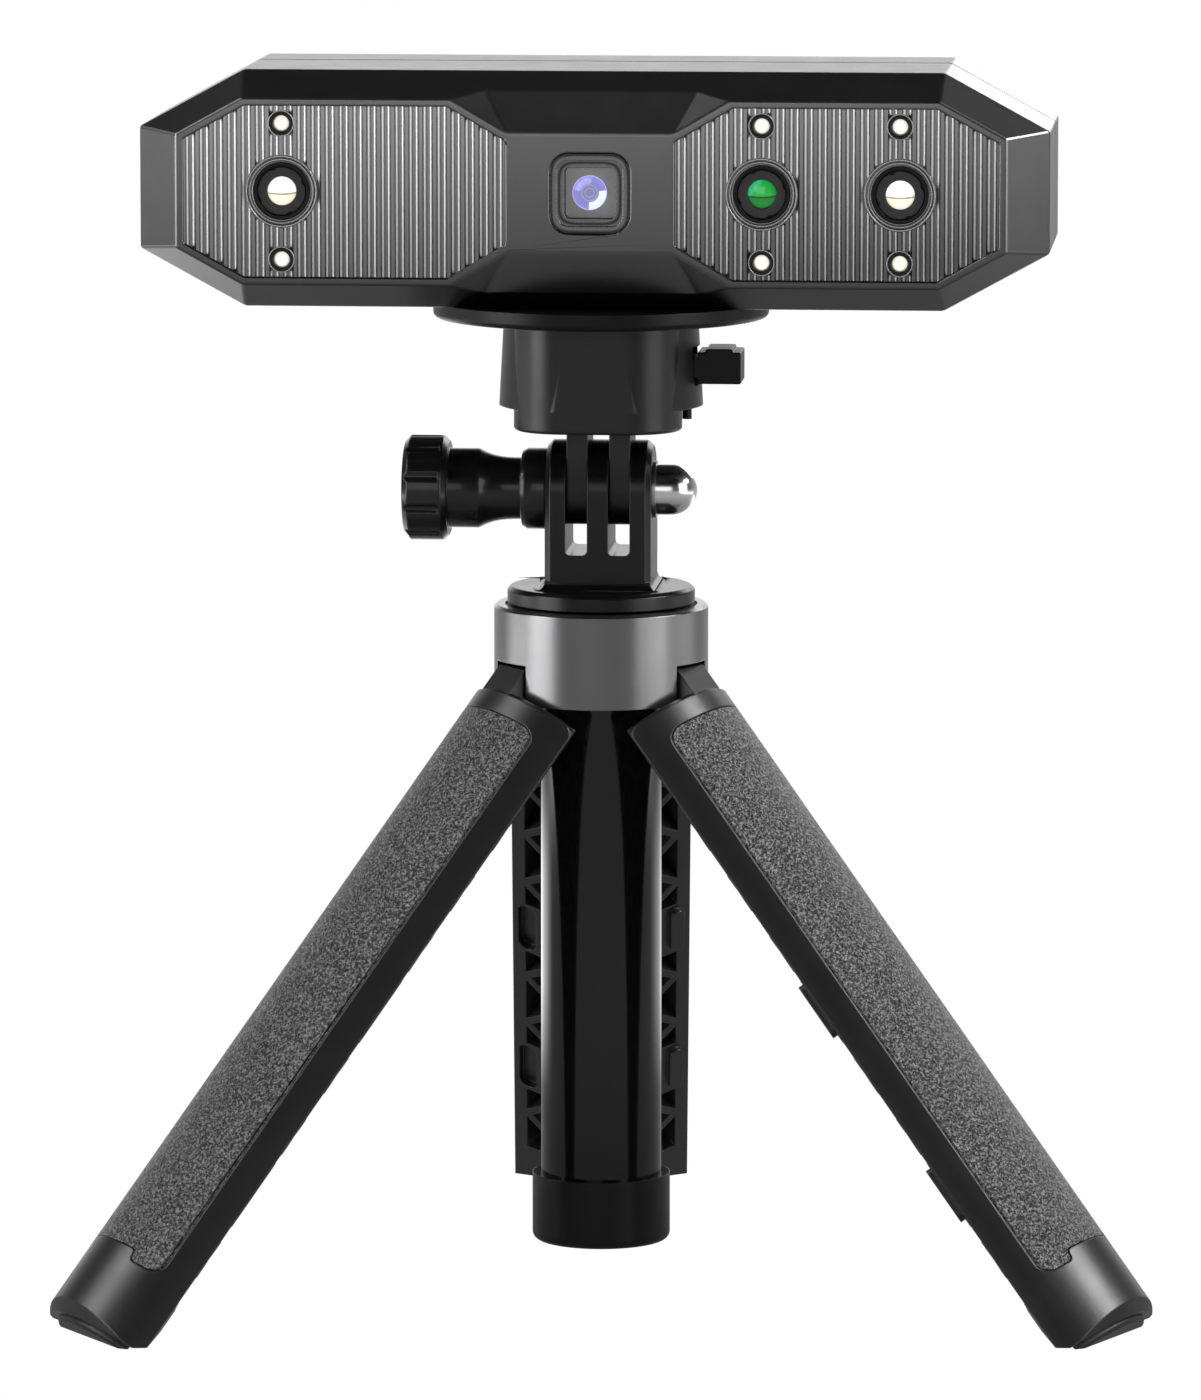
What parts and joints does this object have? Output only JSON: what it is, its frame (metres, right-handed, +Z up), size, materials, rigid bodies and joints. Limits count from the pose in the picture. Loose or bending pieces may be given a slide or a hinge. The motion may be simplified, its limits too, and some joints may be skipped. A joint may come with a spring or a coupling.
{
  "type": "handheld 3d scanner on tripod",
  "caption": "Faceted handheld 3D scanner head with ribbed lens panels on a quick-release socket, three-prong tilting knuckle and folding mini tripod with truss-ribbed legs.",
  "frame": {"origin": "on the table, under the tripod's axis", "axes": "+Z up along the tripod's axis, -Y towards the front that the lenses face, +X to the right seen from the front; one leg points to +Y"},
  "size_m": [0.1508, 0.1338, 0.1703],
  "materials": {
    "head_shell": "satin dark gunmetal, fine grain",
    "head_back": "satin dark gunmetal paint, fine grain",
    "rib_panel": "ribbed, brushed mid grey",
    "lens_barrel": "satin black",
    "clear_lens": "coated, cream and violet glints",
    "green_lens": "coated, green glint",
    "lamp_ring": "satin black",
    "lamp_dome": "clear pale dome",
    "bezel": "polished black steps",
    "window": "dark cover glass",
    "inner_frame": "plain machined",
    "sensor_can": "plain black",
    "circuit_board": "green solder mask",
    "socket_shell": "plain drawn",
    "brass_insert": "plain machined",
    "screw": "blackened",
    "push_button": "satin black",
    "switch": "plain black",
    "light_guide": "clear, faint green",
    "flange": "satin black",
    "flange_screw": "turned",
    "quick_release": "fine matte black",
    "latch": "fine matte black",
    "spring": "plain wire",
    "steel_pin": "ground",
    "fork": "satin black",
    "thumbscrew": "glossy black anodised",
    "bolt": "plain",
    "cap_nut": "mirror chrome",
    "washer": "plain",
    "pole": "gloss black anodised",
    "bush": "plain black",
    "sleeve": "satin dark grey anodised",
    "hub": "plain black",
    "column": "gloss black anodised",
    "cap": "fine matte black",
    "leg": "fine matte dark grey",
    "grip": "speckled charcoal, leather grain",
    "foot": "matte black rubber"
  },
  "bodies": {
    "tripod": {"collar_sleeve": "sleeve", "leg_hub": "hub", "hinge_pins": "steel_pin", "column_tube": "column", "column_cap": "cap", "guide_bush": "bush"},
    "rear_leg_body": {"rear_leg": "leg", "rear_grip": "grip", "rear_foot_pad": "foot"},
    "front_left_leg_body": {"front_left_leg": "leg", "front_left_grip": "grip", "front_left_foot_pad": "foot"},
    "front_right_leg_body": {"front_right_leg": "leg", "front_right_grip": "grip", "front_right_foot_pad": "foot"},
    "pole": {"inner_pole": "pole", "pole_stop": "bush"},
    "fork": {"fork_mount": "fork", "pan_clip": "washer", "cap_nut": "cap_nut", "nut_washer": "washer"},
    "thumbscrew": {"thumbscrew_knob": "thumbscrew", "clamp_bolt": "bolt"},
    "head": {"front_shell": "head_shell", "rear_cover": "head_back", "left_rib_panel": "rib_panel", "right_rib_panel": "rib_panel", "left_camera_barrel": "lens_barrel", "projector_barrel": "lens_barrel", "right_camera_barrel": "lens_barrel", "left_camera_glass": "clear_lens", "projector_glass": "green_lens", "right_camera_glass": "clear_lens", "lamp_rings": "lamp_ring", "lamp_domes": "lamp_dome", "window_bezel": "bezel", "window_glass": "window", "color_lens": "clear_lens", "color_barrel": "lens_barrel", "sensor_frame": "inner_frame", "left_camera_module": "sensor_can", "color_camera_module": "sensor_can", "projector_module": "sensor_can", "right_camera_module": "sensor_can", "main_board": "circuit_board", "data_socket": "socket_shell", "tripod_insert": "brass_insert", "cover_screws": "screw", "button_switch": "switch", "status_lens": "light_guide", "mount_flange": "flange", "flange_screw": "flange_screw", "socket_block": "quick_release", "latch_spring": "spring", "latch_stop_pin": "steel_pin"},
    "latch": {"release_latch": "latch"},
    "button": {"function_button": "push_button"}
  },
  "joints": [
    {"name": "rear_leg_fold", "type": "hinge", "parent": "tripod", "child": "rear_leg_body", "pos_m": [0, 0.011, 0.086], "axis": [-1, 0, 0], "range_deg": [0, 40]},
    {"name": "front_left_leg_fold", "type": "hinge", "parent": "tripod", "child": "front_left_leg_body", "pos_m": [-0.00953, -0.0055, 0.086], "axis": [0.5, -0.866, 0], "range_deg": [0, 40]},
    {"name": "front_right_leg_fold", "type": "hinge", "parent": "tripod", "child": "front_right_leg_body", "pos_m": [0.00953, -0.0055, 0.086], "axis": [0.5, 0.866, 0], "range_deg": [0, 40]},
    {"name": "pole_rise", "type": "slide", "parent": "tripod", "child": "pole", "axis": [0, 0, 1], "range_m": [0, 0.0698]},
    {"name": "head_pan", "type": "hinge", "parent": "pole", "child": "fork", "pos_m": [0, 0, 0.09813], "axis": [0, 0, 1], "continuous": true},
    {"name": "thumbscrew_turn", "type": "hinge", "parent": "fork", "child": "thumbscrew", "pos_m": [0, 0, 0.11148], "axis": [0.9966, -0.0819, 0], "continuous": true},
    {"name": "head_tilt", "type": "hinge", "parent": "fork", "child": "head", "pos_m": [0, 0, 0.11148], "axis": [0.9966, -0.0819, 0], "range_deg": [-80, 80]},
    {"name": "latch_press", "type": "slide", "parent": "head", "child": "latch", "axis": [-0.9966, 0.0819, 0], "range_m": [0, 0.0016], "stiffness_N_per_m": 400, "springref_m": -0.003, "deforming": ["latch_spring"]},
    {"name": "button_press", "type": "slide", "parent": "head", "child": "button", "axis": [-0.0819, -0.9966, 0], "range_m": [0, 0.0008], "stiffness_N_per_m": 500, "springref_m": -0.002}
  ]
}
